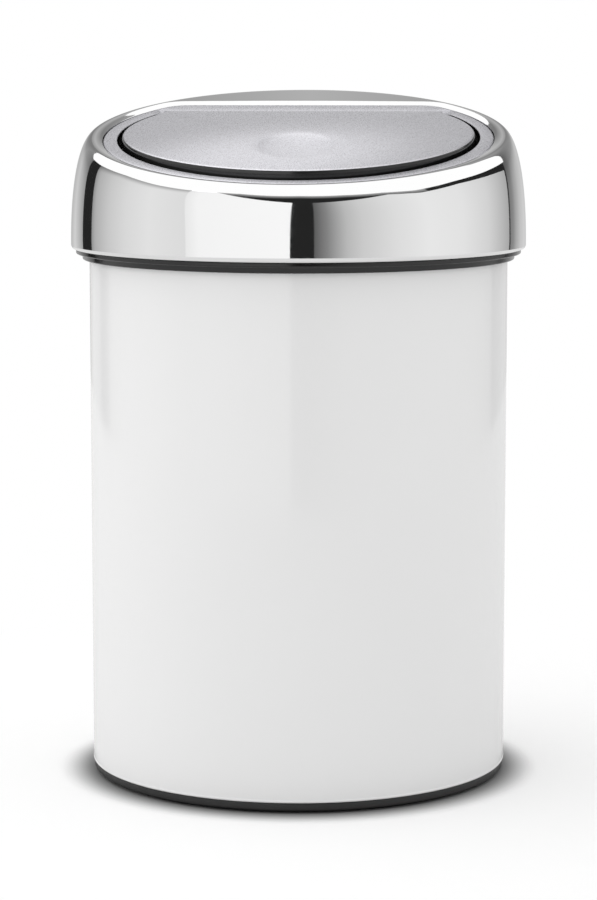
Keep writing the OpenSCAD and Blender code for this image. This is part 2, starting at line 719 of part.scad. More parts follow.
// Hooked jaw, pinned in the plunger's fork; drawn for the right side
module latch_jaw() {
    inner = 4.4;
    outer = 5.9;
    difference() {
        union() {
            translate([0, 2, 0]) rotate([90, 0, 0]) linear_extrude(height = 4)
                polygon([[inner - 0.5, pin_z + 0.6], [outer, pin_z + 0.6], [outer, hook_top - 0.6],
                    [outer - 0.6, hook_top], [jaw_gap + 0.7, hook_top], [jaw_gap, hook_top - 0.7],
                    [jaw_gap, hook_bottom], [inner, hook_bottom], [inner, pin_z + 2.4]]);
            translate([jaw_pin_x, 2, pin_z]) rotate([90, 0, 0]) cylinder(h = 4, r = 1.4, $fn = 32);
        }
        translate([jaw_pin_x, 3, pin_z]) rotate([90, 0, 0]) cylinder(h = 6, r = 0.6 + clearance, $fn = 32);
    }
}
module latch_jaw_right() {
    color("#f0f0ec") at_latch() latch_jaw();
}
module latch_jaw_left() {
    color("#f0f0ec") at_latch() mirror([1, 0, 0]) latch_jaw();
}

// Steel pins of the jaws
module jaw_pin(side) {
    color("silver") at_latch() translate([side * jaw_pin_x, 3.3, pin_z]) rotate([90, 0, 0])
        cylinder(h = 6.6, r = 0.6, $fn = 32);
}
module jaw_pin_left() {
    jaw_pin(-1);
}
module jaw_pin_right() {
    jaw_pin(1);
}

body_shell();
body_bottom();
base_ring();
inner_bucket();
bucket_handle();
lid_ring();
lid_skirt();
flap_carrier();
flap_frame();
carrier_screws();
frame_screws();
latch_housing();
latch_cap();
latch_spring();
latch_cam_pin();
latch_screws();
flap_buffers();
torsion_spring_left();
torsion_spring_right();
hinge_axle();
axle_clips();
flap();
flap_liner();
flap_striker();
striker_screws();
latch_plunger();
latch_jaw_left();
latch_jaw_right();
jaw_pin_left();
jaw_pin_right();
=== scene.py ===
import math

import bpy
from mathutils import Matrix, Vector


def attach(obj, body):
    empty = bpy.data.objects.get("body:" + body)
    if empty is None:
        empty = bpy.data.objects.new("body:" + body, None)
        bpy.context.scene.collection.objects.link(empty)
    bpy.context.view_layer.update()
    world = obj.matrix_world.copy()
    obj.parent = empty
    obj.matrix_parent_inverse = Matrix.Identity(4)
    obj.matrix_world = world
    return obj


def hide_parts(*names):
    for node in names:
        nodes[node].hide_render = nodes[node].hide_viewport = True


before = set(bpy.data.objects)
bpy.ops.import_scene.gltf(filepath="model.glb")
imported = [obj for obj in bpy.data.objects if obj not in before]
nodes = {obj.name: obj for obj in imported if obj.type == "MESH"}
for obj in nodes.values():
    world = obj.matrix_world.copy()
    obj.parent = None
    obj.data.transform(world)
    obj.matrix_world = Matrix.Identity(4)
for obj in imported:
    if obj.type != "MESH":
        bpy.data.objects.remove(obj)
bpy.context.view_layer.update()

# Camera: in front of the bin and a little to its right, level with the lid and tipped a
# little down, with a long lens so that the canister's sides stay nearly upright.
CAMERA_REACH = 1.1475
CAMERA_HEIGHT = 0.2796
CAMERA_TURN = math.radians(2.5)
CAMERA_TIP = math.radians(7.73)
LENS = 119.7
SENSOR = 36

camera = bpy.data.objects.new("camera", bpy.data.cameras.new("camera"))
bpy.context.scene.collection.objects.link(camera)
toward_camera = Vector((math.sin(CAMERA_TURN), -math.cos(CAMERA_TURN), 0))
camera.location = CAMERA_REACH * toward_camera + Vector((0, 0, CAMERA_HEIGHT))
camera.rotation_euler = (math.radians(90) - CAMERA_TIP, 0, CAMERA_TURN)
camera.data.sensor_width = SENSOR
camera.data.lens = LENS
bpy.context.scene.camera = camera
bpy.context.scene.view_settings.view_transform = "Standard"


# Tent: white cloth open above, with a grey panel and a soft box on the left, a shaded
# panel on the right, and a dark slit between them for the camera. It faces the camera.
# Bright surfaces mirror it, and dull ones get the even light that the cloth spreads.
class Value:
    """A socket of a node tree, on which sums and products add Math nodes."""

    def __init__(self, tree, socket=None):
        self.tree = tree
        self.socket = socket

    def node(self, kind, settings, inputs, output=0):
        made = self.tree.nodes.new("ShaderNode" + kind)
        for name, setting in settings.items():
            if name == "stops":
                lay_stops(made.color_ramp, setting)
            else:
                setattr(made, name, setting)
        for name, given in inputs.items():
            if isinstance(given, Value):
                self.tree.links.new(given.socket, made.inputs[name])
            else:
                made.inputs[name].default_value = given
        return Value(self.tree, made.outputs[output] if made.outputs else None)

    def maths(self, operation, *others):
        given = dict(enumerate((self,) + others))
        return self.node("Math", {"operation": operation}, given)

    def __add__(self, other):
        return self.maths("ADD", other)

    def __sub__(self, other):
        return self.maths("SUBTRACT", other)

    def __rsub__(self, other):
        return self.node("Math", {"operation": "SUBTRACT"}, {0: other, 1: self})

    def __mul__(self, other):
        return self.maths("MULTIPLY", other)

    def __truediv__(self, other):
        return self.maths("DIVIDE", other)

    def __gt__(self, other):
        return self.maths("GREATER_THAN", other)

    def __lt__(self, other):
        return self.maths("LESS_THAN", other)

    __radd__ = __add__
    __rmul__ = __mul__

    def between(self, low, high, to_low=0.0, to_high=1.0):
        ends = {"Value": self, "From Min": low, "From Max": high}
        ends.update({"To Min": to_low, "To Max": to_high})
        return self.node("MapRange", {"interpolation_type": "SMOOTHSTEP"}, ends)

    def blend(self, first, second):
        given = {0: self, 6: first, 7: second}
        return self.node("Mix", {"data_type": "RGBA"}, given, output=2)


def lay_stops(ramp, stops):
    """Puts grey stops of (position, brightness) on a colour ramp."""
    while len(ramp.elements) < len(stops):
        ramp.elements.new(0.5)
    for element, (position, grey_level) in zip(ramp.elements, stops):
        element.position = position
        element.color = (grey_level, grey_level, grey_level, 1)


def course(angle, stops, most):
    """A value that runs along an angle, from (degrees, value) pairs up to the most."""
    first, last = stops[0][0], stops[-1][0]
    placed = [((at - first) / (last - first), value / most) for at, value in stops]
    along = (angle - first) / (last - first)
    return most * angle.node("ValToRGB", {"stops": placed}, {"Fac": along})


def cloth(angle, stops):
    """A cloth's brightness along an angle, from (degrees, brightness) pairs."""
    inside = (angle > stops[0][0]) * (angle < stops[-1][0])
    return inside * course(angle, stops, BRIGHTEST)


# Cloths, as (degrees round from the camera, left below zero; brightness).
LEFT_PANEL = [(-127, 0.3), (-123, 0.47), (-110, 0.65), (-96, 0.78), (-80, 0.86), (-57.5, 0.81)]
SOFT_BOX = [(-57.5, 0.92), (-50, 1.03), (15, 1.08)]
RIGHT_PANEL = [
    (7.6, 0.1), (14, 0.24), (24, 0.54), (32, 0.67), (50, 0.82), (68, 0.91), (90, 0.87),
    (110, 0.73), (132, 0.42),
]
LEFT_BACK = [(-180, 1), (-173, 0.44), (-163, 0.46), (-154, 0.58), (-146, 0.46), (-139, 0.32)]
RIGHT_BACK = [
    (133.5, 0.18), (138, 0.24), (142, 0.36), (150, 0.5), (160, 0.56), (173, 0.48), (180, 1),
]
BRIGHTEST = 1.3
DARK = 0.02
# Brightness of the back cloth, as (degrees up, brightness).
BACK_RISE = [
    (-12, 1.3), (-2, 1.15), (5, 1), (12, 0.58), (20, 0.48), (28, 0.44), (40, 0.6), (60, 1),
]
# Edge of the opening above, as (degrees round, degrees up), and the panels' own tops.
OPENING = [
    (-180, 33), (-170, 32), (-154, 30), (-141, 21), (-131, 25), (-112, 37), (-90, 44),
    (-76, 50), (-61, 58), (-45, 63), (0, 65), (30, 61), (54, 54), (70, 44), (94, 37),
    (114, 27), (135, 17), (140, 30), (150, 46), (164, 44), (180, 33),
]
HIGHEST = 90
LEFT_TOP = 52
LEFT_FADE = (10, 0.5)
LEAN = 0.005
BOX_TOP = 48
BOX_SLOPE = 0.18
BOX_END = -4.2
RIGHT_TOP = 48
RIGHT_GAP = 6
GLOW = 0.4
GLOW_REACH = 8
GLOW_END = 75
PANEL_FOOT = -10
OVERHEAD = 1.15
UNDER_FLOOR = 0.8
SPREAD_LIGHT = 0.775
SPREAD_SIDES = 0.52
SPREAD_LEFT = 0.2
WHITE = (1, 1, 1, 1)

world = bpy.data.worlds.new("tent")
bpy.context.scene.world = world
world.use_nodes = True
world.node_tree.nodes.clear()
tent = Value(world.node_tree)
look = tent.node("TexCoord", {}, {}, output="Generated")
faced = {"Vector": look, "Angle": -CAMERA_TURN}
look = look.node("VectorRotate", {"rotation_type": "Z_AXIS"}, faced)
across, depth, height = (look.node("SeparateXYZ", {}, {0: look}, output=i) for i in range(3))
azimuth = across.maths("ARCTAN2", -1 * depth) * math.degrees(1)
elevation = height.maths("ARCSINE") * math.degrees(1)
open_from = course(azimuth, OPENING, HIGHEST)
under = open_from - elevation
leaning = azimuth + LEAN * elevation * elevation
fade = under.between(0, LEFT_FADE[0], LEFT_FADE[1], 1)
left_panel = fade * cloth(leaning, LEFT_PANEL) * (elevation < LEFT_TOP) * (under > 0)
soft_box = cloth(leaning, SOFT_BOX) * (azimuth < BOX_END)
soft_box = soft_box * (elevation < BOX_TOP - BOX_SLOPE * azimuth)
right_panel = cloth(azimuth, RIGHT_PANEL) * (elevation < RIGHT_TOP) * (under > RIGHT_GAP)
glow = GLOW * under.between(GLOW_REACH, 0) * (under > 0)
glow = glow * (azimuth.maths("ABSOLUTE") < GLOW_END)
panels = (left_panel + soft_box + right_panel).maths("MAXIMUM", glow)
back = (cloth(azimuth, LEFT_BACK) + cloth(azimuth, RIGHT_BACK)) * cloth(elevation, BACK_RISE)
back = back * (under > 0)
overhead = OVERHEAD * (elevation > open_from)
below = UNDER_FLOOR * (elevation < PANEL_FOOT)
shine = (panels + overhead + back) * (elevation > PANEL_FOOT) + below + DARK
spread = SPREAD_LIGHT + SPREAD_SIDES * across * across - SPREAD_LEFT * across
mirrored = tent.node("LightPath", {}, {}, output="Is Glossy Ray").blend(spread, shine)
seen = tent.node("LightPath", {}, {}, output="Is Camera Ray").blend(mirrored, WHITE)
backdrop = tent.node("Background", {}, {"Color": seen})
tent.node("OutputWorld", {}, {"Surface": backdrop})

# Snoot: a spot lamp above and left of the camera, with a narrow soft beam on the front
# of the flap that shows the hollow in it. Bright surfaces don't mirror it.
BEAM_TARGET = Vector((-0.01, -0.042, 0.24))
BEAM_LENGTH = 2
BEAM_RISE = math.radians(40)
BEAM_SIDE = math.radians(-40)
BEAM_WIDTH = 0.105
BEAM_POWER = 215
BULB_R = 0.015

snoot = bpy.data.objects.new("snoot", bpy.data.lights.new("snoot", "SPOT"))
bpy.context.scene.collection.objects.link(snoot)
lamp_turn = CAMERA_TURN + BEAM_SIDE
toward_lamp = Vector((math.sin(lamp_turn), -math.cos(lamp_turn), math.tan(BEAM_RISE)))
toward_lamp.normalize()
snoot.location = BEAM_TARGET + BEAM_LENGTH * toward_lamp
snoot.rotation_euler = toward_lamp.to_track_quat("Z", "Y").to_euler()
snoot.data.energy = BEAM_POWER
snoot.data.spot_size = 2 * math.atan(BEAM_WIDTH / 2 / BEAM_LENGTH)
snoot.data.spot_blend = 1
snoot.data.shadow_soft_size = BULB_R
snoot.visible_glossy = False


# Floor: a round pale table top. Near the bin it is lit by the tent, so that it keeps
# the bin's shadow, its colour is darkened in a ring round the bin's foot as a painted
# contact shadow, and further off the camera sees it as plain white.
def mesh_piece(name, points, faces, crease=35):
    """An object in metres from points in millimetres, smooth but for sharp edges."""
    mesh = bpy.data.meshes.new(name)
    mesh.from_pydata([Vector(p) * MM for p in points], [], faces)
    mesh.validate()
    mesh.polygons.foreach_set("use_smooth", [True] * len(mesh.polygons))
    mesh.set_sharp_from_angle(angle=math.radians(crease))
    piece = bpy.data.objects.new(name, mesh)
    bpy.context.scene.collection.objects.link(piece)
    return piece


def turn_points(profile, steps):
    """The points of a profile of (radius, height) turned about the bin's axis."""
    angles = [math.tau * i / steps for i in range(steps)]
    return [(r * math.cos(a), r * math.sin(a), z) for a in angles for r, z in profile]


def skin_faces(rings, count, around=True, closed=True):
    """Quads between rings of points. Around joins the last ring to the first, and
    closed joins each ring's last point to its first."""
    faces = []
    for i in range(rings if around else rings - 1):
        j = (i + 1) % rings
        for k in range(count if closed else count - 1):
            n = (k + 1) % count
            faces.append((i * count + k, j * count + k, j * count + n, i * count + n))
    return faces


MM = 0.001
FLOOR_RINGS = (1500, 500, 200, 90, 0.01)
FLOOR_STEPS = 96
FLOOR_GREY = (0.9, 0.9, 0.9, 1)
FLOOR_LIT = (1.13, 1.13, 1.13, 1)
SHADE_REACH = (0.13, 0.3)
CONTACT_SHADOW_REACH = (0.078, 0.095)
CONTACT_SHADE = 0.26

floor_points = turn_points([(r, 0) for r in FLOOR_RINGS], FLOOR_STEPS)
floor_faces = skin_faces(FLOOR_STEPS, len(FLOOR_RINGS), closed=False)
table_top = mesh_piece("table_top", floor_points, floor_faces)
table_paint = bpy.data.materials.new("table_paint")
table_paint.use_nodes = True
table_paint.node_tree.nodes.clear()
top = Value(table_paint.node_tree)
spot = top.node("NewGeometry", {}, {}, output="Position")
reach = spot.node("VectorMath", {"operation": "LENGTH"}, {0: spot}, output="Value")
camera_ray = top.node("LightPath", {}, {}, output="Is Camera Ray")
# Painted contact shadow: the floor's colour darkens towards the bin's foot.
painted_contact_shadow = reach.between(*CONTACT_SHADOW_REACH, CONTACT_SHADE, 1)
toned = camera_ray.blend(FLOOR_GREY, FLOOR_LIT)
toned = toned.node("VectorMath", {"operation": "SCALE"}, {0: toned, "Scale": painted_contact_shadow})
lit = top.node("BsdfDiffuse", {}, {"Color": toned})
plain = top.node("Emission", {}, {"Color": WHITE})
far = camera_ray * reach.between(*SHADE_REACH)
surface = top.node("MixShader", {}, {0: far, 1: lit, 2: plain})
top.node("OutputMaterial", {}, {"Surface": surface})
table_top.data.materials.append(table_paint)


# Canister: steel sheet rolled into a tube, with a small hem turned out round its foot and
# its top edge curled in, and enamelled glossy white.
class Finish:
    """A material: what is the same all over goes on the shader, then what varies."""

    def __init__(self, name, metallic=0.0, roughness=0.5):
        self.material = bpy.data.materials.new(name)
        self.material.use_nodes = True
        tree = self.material.node_tree
        self.shader = tree.nodes["Principled BSDF"]
        self.shader.inputs["Metallic"].default_value = metallic
        self.shader.inputs["Roughness"].default_value = roughness
        self.start = Value(tree)
        self.place = self.start.node("TexCoord", {}, {}, output="Object")

    def feed(self, socket, value):
        self.start.tree.links.new(value.socket, self.shader.inputs[socket])

    def noise(self, grain, detail=2, stretch=(1, 1, 1)):
        """Noise from 0 to 1 whose spots are about as wide as the grain, in mm."""
        scaled = [s / (grain * MM) for s in stretch]
        given = {0: self.place, 1: scaled}
        where = self.place.node("VectorMath", {"operation": "MULTIPLY"}, given)
        return where.node("TexNoise", {}, {"Vector": where, "Scale": 1, "Detail": detail})

    def cells(self, grain):
        """A random number from 0 to 1 for each cell about as wide as the grain, in mm."""
        given = {"Vector": self.place, "Scale": 1 / (grain * MM)}
        tint = self.place.node("TexVoronoi", {}, given, output="Color")
        return tint.node("SeparateColor", {}, {0: tint})

    def bump(self, height, depth):
        """Raises the surface by height times depth, in mm."""
        given = {"Height": height, "Distance": depth * MM, "Strength": 1.0}
        self.feed("Normal", height.node("Bump", {}, given, output="Normal"))

    def paint(self, *pieces):
        for piece in pieces:
            piece.data.materials.clear()
            piece.data.materials.append(self.material)


def grey(level, warm=0.0):
    """A grey, a little warm where warm is above zero and cool where it is below."""
    return (level + warm, level, level - warm, 1)


def arc(middle, radius, start, end, steps):
    """Points of an arc, with its angles in degrees."""
    turns = [math.radians(start + (end - start) * i / steps) for i in range(steps + 1)]
    return [(middle[0] + radius * math.cos(t), middle[1] + radius * math.sin(t)) for t in turns]


def turned(name, profile, steps=288):
    """A closed profile of (radius, height) turned about the bin's axis."""
    return mesh_piece(name, turn_points(profile, steps), skin_faces(steps, len(profile)))


BODY_R = 80
BODY_IN = 79.2
BODY_TOP = 204
FOOT_H = 4
HEM_R = 0.65
HEM_PROUD = 0.15
HEM_GAP = 0.1
# Turns of the rounded parts, as (from, to, steps).
HEM_TURN = (-100, 40, 10)
HEM_INSIDE = (130, 240, 6)
WALL_FROM = (0.75, 1.2)
CURL_R = 0.9
CURL_TURN = (0, 265, 16)
CURL_FALL = 2.2
NOISE_SPAN = (0.3, 0.7)
ENAMEL_WHITES = (grey(0.878, 0.001), grey(0.892))
ENAMEL_CLOUD = 40
ENAMEL_ROUGH = (0.08, 0.12)
ENAMEL_SHEEN = 9
ENAMEL_PEEL = 1.1
ENAMEL_PEEL_DEPTH = 0.006

hem_middle = (BODY_R + HEM_PROUD - HEM_R, FOOT_H + HEM_GAP + HEM_R)
shell_profile = arc(hem_middle, HEM_R, *HEM_TURN)
shell_profile += [(BODY_R, hem_middle[1] + WALL_FROM[0])]
shell_profile += arc((BODY_R - CURL_R, BODY_TOP - CURL_R), CURL_R, *CURL_TURN)
shell_profile += [(BODY_IN, BODY_TOP - CURL_FALL), (BODY_IN, hem_middle[1] + WALL_FROM[1])]
shell_profile += arc(hem_middle, HEM_R, *HEM_INSIDE)
canister = turned("canister", shell_profile)
enamel = Finish("white_enamel")
enamel.feed("Base Color", enamel.noise(ENAMEL_CLOUD).blend(*ENAMEL_WHITES))
sheen = enamel.noise(ENAMEL_SHEEN, detail=3)
enamel.feed("Roughness", sheen.between(*NOISE_SPAN, *ENAMEL_ROUGH))
enamel.bump(enamel.noise(ENAMEL_PEEL), ENAMEL_PEEL_DEPTH)
enamel.paint(canister)
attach(canister, "bin_body")
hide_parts("body_shell")

# Canister's floor: a pressed disc of galvanised sheet with its rim turned up, held in the
# canister's foot. Its zinc has set in spangles.
ZINC_GREYS = (grey(0.5), grey(0.64, -0.005))
ZINC_ROUGH = (0.34, 0.5)
SPANGLE = 7
ZINC_GRAIN = 2
ZINC_DEPTH = 0.02

zinc = Finish("zinc_sheet", metallic=1.0)
spangle = zinc.cells(SPANGLE)
zinc.feed("Base Color", spangle.blend(*ZINC_GREYS))
zinc.feed("Roughness", spangle.between(0, 1, *ZINC_ROUGH))
zinc.bump(zinc.noise(ZINC_GRAIN, detail=4), ZINC_DEPTH)
zinc.paint(nodes["body_bottom"])


# Foot ring: a satin black moulding that fits in the canister's foot, with a lip under
# the hem, on which the bin stands.
def eased(corners, radius, steps=4):
    """A closed outline with each of its corners rounded."""
    rounded = []
    for i, corner in enumerate(corners):
        here = Vector(corner)
        back_side = Vector(corners[i - 1]) - here
        next_side = Vector(corners[(i + 1) % len(corners)]) - here
        most = EASE_SHARE * min(back_side.length, next_side.length)
        cut = min(radius / math.tan(back_side.angle(next_side) / 2), most)
        first, last = here + cut * back_side.normalized(), here + cut * next_side.normalized()
        for k in range(steps + 1):
            t = k / steps
            rounded.append(tuple((1 - t) ** 2 * first + 2 * t * (1 - t) * here + t * t * last))
    return rounded


EASE_SHARE = 0.45
FOOT_R = 79.6
FLOOR_Z = 10.6
# Corners of the ring's section, as (inward from its outer side, height).
FOOT_SECTION = [
    (9.6, 2.4), (6.1, 2.4), (6.1, 0), (2.9, 0), (2.6, 0.9), (0.8, 0.9), (0, 1.5), (0, FOOT_H),
    (0.9, FOOT_H), (0.9, FLOOR_Z - 0.2), (2.6, FLOOR_Z - 0.2), (2.6, FOOT_H), (9.6, FOOT_H),
]
FOOT_EASE = 0.3
MOULDED_BLACKS = (grey(0.017), grey(0.022))
MOULDED_CLOUD = 12
MOULDED_ROUGH = (0.36, 0.46)
MOULDED_SHEEN = 3
MOULDED_GRAIN = 0.35
MOULDED_DEPTH = 0.012

foot_corners = [(FOOT_R - inward, z) for inward, z in FOOT_SECTION]
foot_ring = turned("foot_ring", eased(foot_corners, FOOT_EASE))
moulding = Finish("black_moulding")
moulding.feed("Base Color", moulding.noise(MOULDED_CLOUD).blend(*MOULDED_BLACKS))
sheen = moulding.noise(MOULDED_SHEEN, detail=3)
moulding.feed("Roughness", sheen.between(*NOISE_SPAN, *MOULDED_ROUGH))
moulding.bump(moulding.noise(MOULDED_GRAIN), MOULDED_DEPTH)
moulding.paint(foot_ring)
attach(foot_ring, "bin_body")
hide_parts("base_ring")


# Bucket: a grey moulding that hangs by its rim, with a boss inside each side for the
# bail's pins and the fine draw marks of its mould.
def add_part(points, faces, more_points, more_faces):
    """Adds a further part's points and faces to a mesh in the making."""
    base = len(points)
    points += more_points
    faces += [[base + n for n in face] for face in more_faces]


BUCKET_TOP_R = 77
BUCKET_BASE_R = 68
BUCKET_WALL = 1.4
BUCKET_BASE_Z = 13.6
BUCKET_FLOOR = 1.8
BUCKET_MIDDLE = 0.01
BUCKET_EASE = 0.6
BUCKET_STEPS = 192
RIM_R = 80.3
RIM_LOW = 204.02
RIM_HIGH = 205.98
EAR_X = 71.4
EAR_THICK = 4.4
EAR_HALF = 4.5
EAR_H = 10.4
EAR_LOW = 193
EAR_CORNER = 2
EAR_EASE = 0.4
# Rows of the boss, as (into the wall, drawn in all round).
EAR_ROWS = [(0, EAR_EASE), (EAR_EASE, 0), (EAR_THICK, 0)]
BUCKET_GREYS = (grey(0.4), grey(0.44))
BUCKET_CLOUD = 25
BUCKET_ROUGH = (0.34, 0.48)
DRAW_MARK = 0.8
DRAW_STRETCH = (1, 1, 0.02)
DRAW_DEPTH = 0.01

bucket_corners = [
    (BUCKET_MIDDLE, BUCKET_BASE_Z), (BUCKET_BASE_R, BUCKET_BASE_Z), (BUCKET_TOP_R, RIM_LOW),
    (RIM_R, RIM_LOW), (RIM_R, RIM_HIGH), (BUCKET_TOP_R - BUCKET_WALL, RIM_HIGH),
    (BUCKET_BASE_R - BUCKET_WALL, BUCKET_BASE_Z + BUCKET_FLOOR),
    (BUCKET_MIDDLE, BUCKET_BASE_Z + BUCKET_FLOOR),
]
bucket_profile = eased(bucket_corners, BUCKET_EASE)
bucket_points = turn_points(bucket_profile, BUCKET_STEPS)
bucket_faces = skin_faces(BUCKET_STEPS, len(bucket_profile))
ear_corners = [(-EAR_HALF, 0), (EAR_HALF, 0), (EAR_HALF, EAR_H), (-EAR_HALF, EAR_H)]
ear_outline = eased(ear_corners, EAR_CORNER)
ear_faces = skin_faces(len(EAR_ROWS), len(ear_outline), around=False)
ear_faces.append(tuple(range(len(ear_outline))))
middle_h = EAR_H / 2
for side in (-1, 1):
    ear_points = []
    for into, inset in EAR_ROWS:
        pull = 1 - inset / middle_h
        for y, z in ear_outline:
            z = EAR_LOW + middle_h + (z - middle_h) * pull
            ear_points.append((side * (EAR_X + into), y * pull, z))
    add_part(bucket_points, bucket_faces, ear_points, ear_faces)
bucket = mesh_piece("bucket", bucket_points, bucket_faces)
grey_moulding = Finish("grey_moulding")
grey_moulding.feed("Base Color", grey_moulding.noise(BUCKET_CLOUD).blend(*BUCKET_GREYS))
draw_marks = grey_moulding.noise(DRAW_MARK, stretch=DRAW_STRETCH)
grey_moulding.feed("Roughness", draw_marks.between(*NOISE_SPAN, *BUCKET_ROUGH))
grey_moulding.bump(draw_marks, DRAW_DEPTH)
grey_moulding.paint(bucket)
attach(bucket, "bucket")
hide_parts("inner_bucket")

# Bail: drawn steel wire bent to a half circle, its two ends turned out into the bucket's
# bosses. The die has left fine streaks along it.
STEEL_GREYS = (grey(0.52), grey(0.63))
STEEL_ROUGH = (0.2, 0.34)
STREAK = 0.5
STREAK_STRETCH = (0.2, 1, 1)
STREAK_DEPTH = 0.004

drawn = Finish("drawn_steel", metallic=1.0)
streaks = drawn.noise(STREAK, detail=3, stretch=STREAK_STRETCH)
drawn.feed("Base Color", streaks.blend(*STEEL_GREYS))
drawn.feed("Roughness", streaks.between(*NOISE_SPAN, *STEEL_ROUGH))
drawn.bump(streaks, STREAK_DEPTH)
drawn.paint(nodes["bucket_handle"])


# Skirt: the glossy black moulding under the lid ring. Two steps of it show as a band, a
# ledge sits on the bucket, and four posts carry the deck.
def on_slope(x, y, h):
    """A point given in the plane of the opening, as a point of the bin."""
    return (x, y * SLOPE_COS - h * SLOPE_SIN, OPENING_Z + y * SLOPE_SIN + h * SLOPE_COS)


def post_points(middle):
    """A post with its top cut along the deck and a blind screw hole, from outside in."""
    hole_z = POST_LOW + POST_FLOOR
    section = [(POST_R, POST_LOW), (POST_R, None), (BORE_R, None)]
    section += [(BORE_R, hole_z), (BORE_MIDDLE, hole_z)]
    points = []
    for r, z in section:
        for k in range(POST_STEPS):
            a = math.tau * k / POST_STEPS
            x, y = middle[0] + r * math.cos(a), middle[1] + r * math.sin(a)
            deck = OPENING_Z + y * math.tan(SLOPE) + DECK_BOTTOM / SLOPE_COS
            points.append((x, y, deck if z is None else z))
    return points


SLOPE = math.radians(11.45)
SLOPE_COS, SLOPE_SIN = math.cos(SLOPE), math.sin(SLOPE)
OPENING_Z = 244.5
BAND_Z = 198.4
STEP_Z = 200.6
HEM_Z = 202.35
LEDGE_LOW = 206.02
LEDGE_TOP = 208
# Corners of the skirt's section, as (radius, height).
SKIRT_SECTION = [
    (80.5, BAND_Z + 0.4), (80.9, BAND_Z), (82.6, BAND_Z), (82.6, STEP_Z), (85.1, STEP_Z),
    (85.1, HEM_Z - 0.05), (82.9, HEM_Z - 0.05), (82.9, LEDGE_TOP), (73.4, LEDGE_TOP),
    (73.4, LEDGE_LOW), (80.5, LEDGE_LOW),
]
SKIRT_EASE = 0.4
SKIRT_STEPS = 288
DECK_BOTTOM = -4.62
POST_OUT = 78.2
POST_R = 3
BORE_R = 1.35
BORE_MIDDLE = 0.05
POST_LOW = 207
POST_FLOOR = 7
POST_STEPS = 40
POST_ANGLES = (40, 140, 220, 320)
GLOSS_BLACKS = (grey(0.008), grey(0.011))
GLOSS_CLOUD = 12
GLOSS_ROUGH = (0.1, 0.15)
GLOSS_SHEEN = 5

skirt_profile = eased(SKIRT_SECTION, SKIRT_EASE)
skirt_points = turn_points(skirt_profile, SKIRT_STEPS)
skirt_faces = skin_faces(SKIRT_STEPS, len(skirt_profile))
for degrees in POST_ANGLES:
    a = math.radians(degrees)
    post = post_points((POST_OUT * math.cos(a), POST_OUT * math.sin(a)))
    post_faces = skin_faces(len(post) // POST_STEPS, POST_STEPS, around=False)
    add_part(skirt_points, skirt_faces, post, post_faces)
skirt = mesh_piece("skirt", skirt_points, skirt_faces)
gloss_black = Finish("gloss_black")
gloss_black.feed("Base Color", gloss_black.noise(GLOSS_CLOUD).blend(*GLOSS_BLACKS))
sheen = gloss_black.noise(GLOSS_SHEEN, detail=3)
gloss_black.feed("Roughness", sheen.between(*NOISE_SPAN, *GLOSS_ROUGH))
gloss_black.paint(skirt)
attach(skirt, "lid")
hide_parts("lid_skirt")


# Lid ring: bright steel, drawn from one sheet, low in front and high behind. Its side
# rises straight from a rounded hem and rolls over to the edge of the opening.
def outline_reach(angle, radius, chord, corner):
    """Reach of a round outline that has a straight rear edge and rounded corners."""
    up = math.pi / 2 - abs((angle - math.pi / 2 + math.pi) % math.tau - math.pi)
    cx = math.sqrt((radius - corner) ** 2 - (chord - corner) ** 2)
    cy = chord - corner
    if up < math.atan2(cy, cx):
        return radius
    if up > math.atan2(chord, cx):
        return chord / math.sin(up)
    along = cx * math.cos(up) + cy * math.sin(up)
    return along + math.sqrt(corner**2 - cx**2 - cy**2 + along**2)


def side_curve(a, inset, t):
    """The ring's side from its hem, at t = 0, to its crest, at t = 1."""
    turn = Vector((math.cos(a), math.sin(a), 0))
    hem = (RING_R - inset) * turn + Vector((0, 0, HEM_Z + SIDE_FROM))
    crest_spot = CREST_R * turn
    crest = Vector(on_slope(crest_spot.x, crest_spot.y, CREST_H - inset))
    shoulder_spot = (CREST_R + SHOULDER_PULL - inset / 2) * turn
    shoulder = Vector(on_slope(shoulder_spot.x, shoulder_spot.y, CREST_H - inset))
    straight = hem + Vector((0, 0, SIDE_STRAIGHT * (crest.z - hem.z)))
    u = 1 - t
    return tuple(u**3 * hem + 3 * u * u * t * straight + 3 * u * t * t * shoulder + t**3 * crest)


def edge_point(a, outward, inset):
    """A point of the ring's top, so far outward from the edge of the opening."""
    reach_here = outline_reach(a, *OPENING_OUTLINE) + outward
    fall = max(0, 1 - outward / (CREST_R - OPENING_OUTLINE[0]))
    rise = CREST_H * (1 - fall**2) - inset
    return on_slope(reach_here * math.cos(a), reach_here * math.sin(a), rise)


RING_R = 86.95
RING_T = 1
RING_HEM_IN = 83.2
RING_HEM_R = 1.6
RING_HEM_TURN = (-90, 0, 8)
SIDE_FROM = 1.65
SIDE_STRAIGHT = 0.66
SHOULDER_PULL = 4
CREST_R = 78.8
CREST_H = 0.95
# Outline of the opening, as (radius, reach of the rear edge, radius of its corners).
OPENING_OUTLINE = (74.75, 54.7, 12)
# The lip that goes down into the opening, as (outward from its edge, down).
LIP_DEPTH = 2.2
RING_LIP = [
    (0, 0.05), (0, 0.2), (0, LIP_DEPTH), (RING_T, LIP_DEPTH + 0.48), (RING_T, RING_T + 0.3),
]
EDGE_SHARES = (0.94, 0.86, 0.76, 0.64, 0.5, 0.36, 0.24, 0.14, 0.07, 0.025)
RING_STEPS = 480
SIDE_STEPS = 26
INSIDE_STEPS = 8
BRIGHT_GREYS = (grey(0.84), grey(0.865))
BRIGHT_CLOUD = 30
BRIGHT_ROUGH = (0.03, 0.055)
BRIGHT_SHEEN = 6
BRIGHT_SPAN = (0.35, 0.75)

